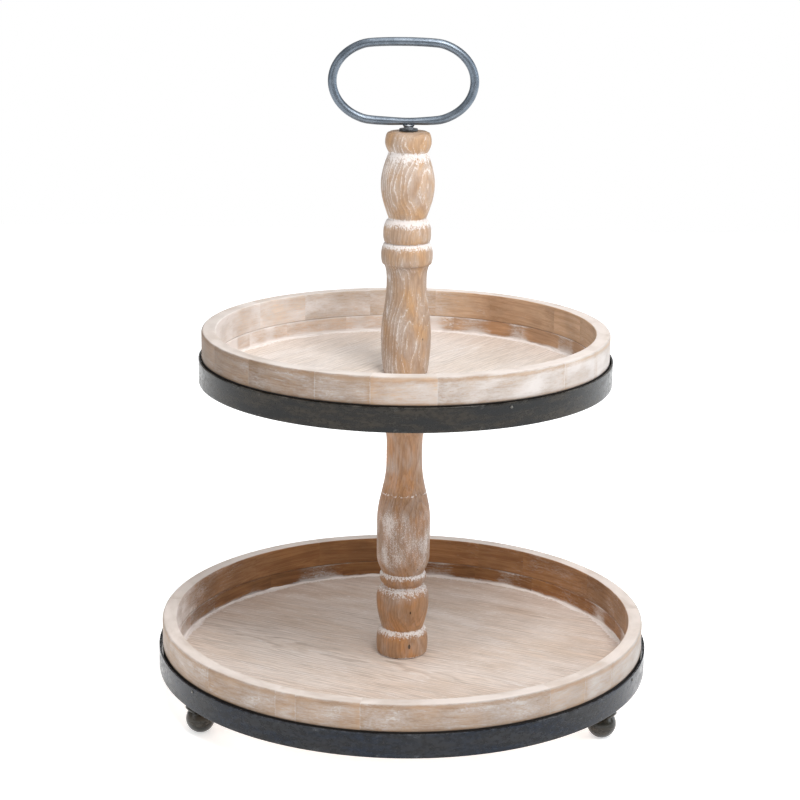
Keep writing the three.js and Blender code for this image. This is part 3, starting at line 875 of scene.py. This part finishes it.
def brads(tray):
    """Small domed nail heads, each on the place of its CAD piece."""
    for index in (1, 2, 3):
        node = f"{tray.name}_brad_{index}"
        low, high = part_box(node)
        centre = (low + high) / 2
        azimuth = math.atan2(centre.x, -centre.y)
        reach = math.hypot(centre.x, centre.y)
        length = math.hypot(high.x - low.x, high.y - low.y)
        tip, neck = -length / 2, tray.band_radius + GAP / 2 - reach
        section = [(0, tip), (0.65 * MM, tip + 2 * MM), (0.7 * MM, neck), (NAIL_HEAD_RADIUS, neck)]
        for arc in np.linspace(0, math.pi / 2, 6):
            rise = 0.15 * MM + 0.45 * MM * math.sin(arc)
            section.append((NAIL_HEAD_RADIUS * math.cos(arc), neck + rise))
        section[-1] = (0, section[-1][1])
        mesh = along_brushing(revolved(section, 20))
        turn = Matrix.Rotation(azimuth - math.pi / 2, 4, "Z")
        lay = Matrix.Rotation(math.pi / 2, 4, "Y")
        lift, out = Matrix.Translation((0, 0, centre.z)), Matrix.Translation((reach, 0, 0))
        mesh.transform(lift @ turn @ out @ lay)
        show(f"{node}_nail", mesh, tray.body, "brad_steel", BRAD_STEEL, node)


# ---- Feet ----


def ball_foot(side, tray):
    """A ball with a rippled weld bead on its outer shoulder, melted into one skin."""
    node = f"ball_foot_{side}"
    low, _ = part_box(node)
    azimuth = math.radians(FOOT_AZIMUTHS[side])
    out = Vector((math.sin(azimuth), -math.cos(azimuth), 0))
    centre = out * FOOT_REACH + Vector((0, 0, low.z + FOOT_RADIUS))
    work = bmesh.new()
    bmesh.ops.create_uvsphere(work, u_segments=48, v_segments=32, radius=FOOT_RADIUS)
    bmesh.ops.translate(work, verts=work.verts, vec=centre)
    across = Vector((-out.y, out.x, 0))
    for i in range(9):
        share = i / 8 * 2 - 1
        blob = bmesh.ops.create_icosphere(work, subdivisions=3, radius=(2.3 - 0.7 * share**2) * MM)
        reach = FOOT_WELD_REACH - 0.6 * MM * share**2
        place = out * reach + across * (share * FOOT_WELD_HALF)
        place.z = tray.band_bottom - (1.9 + 0.9 * share**2) * MM
        bmesh.ops.translate(work, verts=blob["verts"], vec=place)
        bmesh.ops.scale(work, verts=blob["verts"], vec=(1, 1, 0.85), space=Matrix.Translation(-place))
    mesh = bpy.data.meshes.new(node)
    work.to_mesh(mesh)
    work.free()
    rough = linked(node + "_rough", mesh)
    melt = rough.modifiers.new("melt", "REMESH")
    melt.mode, melt.voxel_size = "VOXEL", 0.42 * MM
    soften = rough.modifiers.new("soften", "SMOOTH")
    soften.factor, soften.iterations = 0.5, 4
    evaluated = rough.evaluated_get(bpy.context.evaluated_depsgraph_get())
    skin = bpy.data.meshes.new_from_object(evaluated)
    bpy.data.objects.remove(rough)
    skin.shade_smooth()
    height = vertex_places(skin)[:, 2]
    top = smooth(height, low.z + 1.7 * FOOT_RADIUS, low.z + 2 * FOOT_RADIUS) * 0.4
    mark_finish(skin, top, 0, 0)
    show(f"{node}_steel", skin, tray.body, "foot_metal", FOOT_METAL, node)


# ---- Posts ----


def insert_bore(mouth, into):
    """A stepped bore's wall as (radius, height) points, from its mouth to its end on the axis."""
    seat, step = INSERT_RADIUS + GAP, mouth + into * (INSERT_SINK + INSERT_LENGTH + GAP)
    end = step + into * PILOT_DEPTH
    return [(seat, mouth), (seat, step), (PILOT_RADIUS, step), (PILOT_RADIUS, end), (0, end)]


def stud_bore(mouth, depth):
    return [(PILOT_RADIUS, mouth), (PILOT_RADIUS, mouth - depth), (0, mouth - depth)]


def eased_ends(points):
    """The outline with its first and last corner rounded towards the end faces."""
    (foot_radius, foot), (head_radius, head) = points[0], points[-1]
    middle = [p for p in points if foot + POST_EDGE < p[1] < head - POST_EDGE]
    turns = np.linspace(0, math.pi / 2, 5)
    steep = [(POST_EDGE * (1 - math.sin(t)), POST_EDGE * (1 - math.cos(t))) for t in turns]
    start = [(foot_radius - inward, foot + up) for inward, up in steep]
    end = [(head_radius - inward, head - down) for down, inward in steep]
    return start + middle + end


def post(node, body, outline, thick_wash, flecks, stain, material, head_bore):
    low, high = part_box(node)
    outside = eased_ends(outline_points(outline, low.z))
    section = [*insert_bore(low.z, 1)[::-1], *outside, *head_bore(high.z)]
    radius, height = np.array(section).T
    azimuth = full_circle(144)[:, None]
    turned_surface = radius > 10 * MM
    uneven = 0.06 * MM * ripple(azimuth + height * 3, [2, 3, 5], node) * turned_surface
    cuts = 0.02 * MM * np.sin(height / (0.55 * MM)) * turned_surface
    mesh = grid_mesh(around(radius + uneven + cuts, height, azimuth))
    level = (height - low.z) / MM
    wash = 0
    for peak, fade_down, fade_up, amount in thick_wash:
        sway = 0.6 * ripple(azimuth, [1, 2, 5, 9, 17], f"{node} {peak}")
        below = smooth(level + sway, peak - fade_down, peak)
        above = smooth(level + sway, peak + fade_up, peak)
        wash = np.maximum(wash, below * above * amount)
    turn = (azimuth - FLECKED_SIDE + math.pi) % (2 * math.pi) - math.pi
    drift = 1 + 0.4 * ripple(azimuth, [1, 2, 4], node + " flecks") + 0.3 * hump(turn, 0.7)
    dense = np.interp(level, *np.array(flecks).T) * drift
    brown = np.interp(level, *np.array(stain).T) + 0.25 * ripple(azimuth, [1, 2, 3], node + " stain")
    mark_finish(mesh, wash, dense, np.clip(brown, 0, 1))
    show(f"{node}_wood", cleaned(mesh), body, "post_wood", material, node)


# ---- Screws, inserts and washers ----


def thread_wave(turns):
    """A rolled thread's depth, 0 at the crest and 1 at the root, along a number of turns."""
    along = np.abs((turns % 1) * 2 - 1)
    return smooth(along, 0.12, 0.88)


def threaded(bottom, top, extra=()):
    """A thread with both ends run out, and any further (radius, height) points above it."""
    rows = np.arange(bottom, top, SCREW_PITCH / 10)
    azimuth = full_circle(36)[:, None]
    turns = rows / SCREW_PITCH - azimuth / (2 * math.pi)
    fade = smooth(rows, bottom, bottom + 1.2 * MM) * smooth(rows, top, top - 1.0 * MM)
    radius = SCREW_RADIUS - 0.03 * MM - THREAD_DEPTH * thread_wave(turns) * fade
    radius = radius - 0.9 * MM * smooth(rows, bottom + 0.9 * MM, bottom)
    ends = list(extra) or [(0, rows[-1])]
    above = [np.full((36, 1), r) for r, _ in ends]
    heights = np.concatenate([[rows[0]], rows, [z for _, z in ends]])
    radius = np.concatenate([np.zeros((36, 1)), radius, *above], 1)
    return along_brushing(cleaned(grid_mesh(around(radius, heights, azimuth))))


def knurled_insert(node, body):
    """A brass sleeve with knurled bands, as pressed and glued into the wood."""
    low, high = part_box(node)
    bottom, top = low.z, high.z
    section = divided(rounded([
        (PILOT_RADIUS, bottom, 0.2 * MM), (INSERT_RADIUS, bottom, 0.3 * MM),
        (INSERT_RADIUS, top, 0.3 * MM), (PILOT_RADIUS, top, 0.3 * MM),
    ], 3), 1 * MM)
    radius, height = np.array(section).T
    azimuth = full_circle(96)[:, None]
    share = (height - bottom) / (top - bottom)
    knurl = smooth(np.abs(share - 0.5), 0.08, 0.12) * smooth(np.abs(share - 0.5), 0.46, 0.42)
    outside = (radius > INSERT_RADIUS - 0.05 * MM) * knurl
    teeth = 0.25 * MM * (0.5 + 0.5 * np.cos(azimuth * 32)) * outside
    mesh = cleaned(grid_mesh(around(radius - teeth, height, azimuth), True))
    show(f"{node}_brass", along_brushing(mesh), body, "insert_brass", INSERT_BRASS, node)


def flat_washer(node, body, slot, material, edge):
    low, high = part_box(node)
    section = ring_section(PILOT_RADIUS, high.x, low.z, high.z, edge, 4, 1.2 * MM)
    mesh = along_brushing(revolved(section, 72, close=True))
    show(f"{node}_steel", mesh, body, slot, material, node)


def socket_bolt(node, body):
    """The button head's dome and hexagon socket, below a plain shank."""
    low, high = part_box(node)
    head_radius, shank = high.x, SCREW_RADIUS
    bottom, seat = low.z, low.z + BOLT_HEAD_HEIGHT
    azimuth = full_circle(72)[:, None]
    hexagon = math.cos(math.pi / 6) / np.cos((azimuth + math.pi / 6) % (math.pi / 3) - math.pi / 6)
    socket, deep = 2.6 * MM, bottom + 2.6 * MM
    rows = [
        (0, deep, 1), (socket, deep, 1), (socket, bottom + 0.3 * MM, 1), (3.0 * MM, bottom, 0.6),
        (4.0 * MM, bottom, 0),
    ]
    for turn in np.linspace(0.35, math.pi / 2, 9):
        rows.append((head_radius * math.sin(turn) ** 0.8, seat - 0.5 * MM - 3.9 * MM * math.cos(turn), 0))
    rows += [
        (head_radius, seat, 0), (shank, seat, 0), (shank, high.z - 1 * MM, 0),
        (shank - 1 * MM, high.z, 0), (0, high.z, 0),
    ]
    radius = np.concatenate([r * (1 + six * (hexagon - 1)) for r, _, six in rows], 1)
    mesh = cleaned(grid_mesh(around(radius, [z for _, z, _ in rows], azimuth)))
    show(f"{node}_steel", along_brushing(mesh), body, "zinc_steel", ZINC_STEEL, node)


# ---- Handle ----


def handle_ring():
    """Round bar bent to an oval, pressed flatter where the stud is welded to it."""
    node = "handle_ring"
    low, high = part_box(node)
    bar = (high.y - low.y) / 2
    centre = (low + high) / 2
    sweep_x = (high.x - low.x) / 2 - bar - RING_FLAT
    sweep_z = (high.z - low.z) / 2 - bar
    angle = full_circle(320)
    flat = RING_FLAT * np.clip(np.cos(angle) / RING_EASE, -1, 1)
    x = centre.x + flat + sweep_x * np.cos(angle)
    z = centre.z + sweep_z * np.sin(angle)
    line = np.stack([x, 0 * x, z], -1)
    for _ in range(20):
        line = (np.roll(line, 1, 0) + 2 * line + np.roll(line, -1, 0)) / 4
    tangent = np.roll(line, -1, 0) - np.roll(line, 1, 0)
    tangent /= np.linalg.norm(tangent, axis=1)[:, None]
    across = np.stack([tangent[:, 2], 0 * x, -tangent[:, 0]], -1)
    near = (hump(line[:, 0], PINCH_LENGTH) * (line[:, 2] < centre.z))[:, None, None]
    turn = full_circle(32)[:, None]
    flattened = across[:, None, :] * np.cos(turn) * (bar * (1 - PINCH * near))
    widened = np.array([0, 1, 0]) * np.sin(turn) * (bar * (1 + PINCH_SPREAD * near))
    mesh = grid_mesh(line[:, None, :] + flattened + widened, True)
    length = np.concatenate([[0], np.cumsum(np.linalg.norm(np.diff(line, axis=0), axis=1))])
    brushing = np.broadcast_arrays(length[:, None], np.abs(turn[:, 0] - math.pi) * bar, 0)
    mark(mesh, "brushing", np.stack(brushing, -1), "FLOAT_VECTOR")
    show(f"{node}_steel", cleaned(mesh), "handle", "handle_steel", HANDLE_STEEL, node)


def handle_stud():
    """The thread, the plain neck and the fillet of weld that joins it to the ring."""
    node = "handle_stud"
    low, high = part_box(node)
    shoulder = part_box("upper_post")[1].z
    neck, weld = 3.7 * MM, high.z + GAP
    extra = [
        (SCREW_RADIUS, shoulder - 0.4 * MM), (SCREW_RADIUS, shoulder - 0.1 * MM),
        (neck, shoulder + 0.1 * MM), (neck, weld - WELD_RISE),
    ]
    for share in np.linspace(0, 1, 6)[1:]:
        extra.append((neck + 0.9 * MM * share**2, weld - WELD_RISE * (1 - share) + 0.6 * MM * share))
    extra += [(neck, weld + 1.4 * MM), (0, weld + 1.4 * MM)]
    mesh = threaded(low.z, shoulder - 0.5 * MM, extra)
    show(f"{node}_steel", mesh, "handle", "handle_steel", STUD_STEEL, node)


# ---- The stand ----

LOWER_TRAY = Tray("lower", "base")
UPPER_TRAY = Tray("upper", "upper_tray")
for tray, veneer, metal in (
    (LOWER_TRAY, LOWER_VENEER, LOWER_BAND_METAL),
    (UPPER_TRAY, UPPER_VENEER, UPPER_BAND_METAL),
):
    rim_top(tray, joint_angles(TOP_JOINTS[tray.name], f"{tray.name} joints"))
    rim_base(tray, joint_angles(BASE_JOINTS, f"{tray.name} base joints"))
    floor_panel(tray, veneer)
    paint_bead(tray)
    band(tray, metal)
    brads(tray)
for side in FOOT_AZIMUTHS:
    ball_foot(side, LOWER_TRAY)

post(
    "lower_post", "base", LOWER_OUTLINE, LOWER_WASH, LOWER_FLECKS, LOWER_STAIN, LOWER_POST_WOOD,
    lambda top: stud_bore(top, STUD_BORE_DEPTH),
)
post(
    "upper_post", "upper_post", UPPER_OUTLINE, UPPER_WASH, UPPER_FLECKS, UPPER_STAIN, UPPER_POST_WOOD,
    lambda top: insert_bore(top, -1),
)

for node, body in (
    ("lower_post_foot_insert", "base"),
    ("upper_post_foot_insert", "upper_post"),
    ("upper_post_head_insert", "upper_post"),
):
    knurled_insert(node, body)
flat_washer("base_washer", "base", "zinc_steel", ZINC_STEEL, 0.25 * MM)
flat_washer("handle_washer", "handle_washer", "handle_steel", WASHER_STEEL, 0.45 * MM)
socket_bolt("base_bolt", "base")
stud_low, stud_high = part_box("link_stud")
stud = threaded(stud_low.z, stud_high.z)
show("link_stud_thread", stud, "base", "zinc_steel", ZINC_STEEL, "link_stud")
handle_ring()
handle_stud()


# ---- Stage, light and camera ----


def stage_floor():
    mesh = bpy.data.meshes.new("stage_floor")
    half = 2.2
    corners = [(-half, -half, 0), (half, -half, 0), (half, half, 0), (-half, half, 0)]
    mesh.from_pydata(corners, [], [(0, 1, 2, 3)])
    m = Recipe("stage_white", roughness=0.9, specular=0.1)
    m.shader["Emission Color"].default_value = (1, 1, 1, 1)
    m.shader["Emission Strength"].default_value = 0.55
    m.done(srgb(246, 246, 246))
    mesh.materials.append(m.material)
    obj = linked("stage_floor", mesh)


def softbox(name, place, aim, size, power, colour):
    data = bpy.data.lights.new(name, "AREA")
    data.shape, data.size, data.size_y = "RECTANGLE", size[0], size[1]
    data.energy, data.color = power, colour
    obj = linked(name, data)
    obj.location = place
    obj.rotation_euler = (Vector(aim) - Vector(place)).to_track_quat("-Z", "Y").to_euler()


def surroundings():
    """A white room that is dim in front, and pure white where it is seen directly."""
    world = bpy.data.worlds.new("room")
    world.use_nodes = True
    bpy.context.scene.world = world
    room = Nodes(world.node_tree)
    towards_back = room.node("SeparateXYZ", {0: room.node("TexCoord", {}, "Generated")}, "Y")
    seen = room.node("LightPath", {}, "Is Camera Ray")
    background = room.tree.nodes["Background"].inputs
    room.feed(background["Strength"], room.most(room.step(towards_back, -0.9, 0.1, 0.25, 0.45), seen))
    room.feed(background["Color"], (1, 1, 1, 1))


def camera():
    """Eye height, distance and tilts that give the stand its usual catalogue view."""
    distance, height = 1.56226, 0.65366
    pitch, yaw, roll = math.radians(14.71), math.radians(-0.15), math.radians(0.7)
    right = Vector((math.cos(yaw), -math.sin(yaw), 0))
    ahead = Vector((math.sin(yaw) * math.cos(pitch), math.cos(yaw) * math.cos(pitch), -math.sin(pitch)))
    up = right.cross(ahead)
    x = right * math.cos(roll) + up * math.sin(roll)
    y = up * math.cos(roll) - right * math.sin(roll)
    data = bpy.data.cameras.new("camera")
    data.sensor_width, data.lens = 36, 90.35
    obj = linked("camera", data)
    facing = Matrix((x, y, -ahead)).transposed().to_4x4()
    obj.matrix_world = Matrix.Translation((0, -distance, height)) @ facing
    bpy.context.scene.camera = obj


stage_floor()
surroundings()
softbox("key", (0.65, -1.4, 2.15), (0, 0, 0.25), (0.9, 0.9), 42, (1.0, 0.99, 0.98))
softbox("side", (2.1, -0.7, 1.1), (0, 0, 0.2), (1.0, 1.0), 14, (0.84, 0.93, 1.0))
softbox("edge", (1.9, 1.0, 0.55), (0, 0, 0.2), (1.2, 1.2), 8, (0.8, 0.9, 1.0))
softbox("top", (0.1, 0.0, 2.4), (0, 0, 0.2), (1.4, 1.4), 14, (1.0, 1.0, 1.0))
softbox("fill", (-1.9, -1.3, 0.9), (0, 0, 0.2), (1.2, 1.4), 9, (0.9, 0.96, 1.0))
camera()
bpy.context.scene.view_settings.view_transform = "Standard"
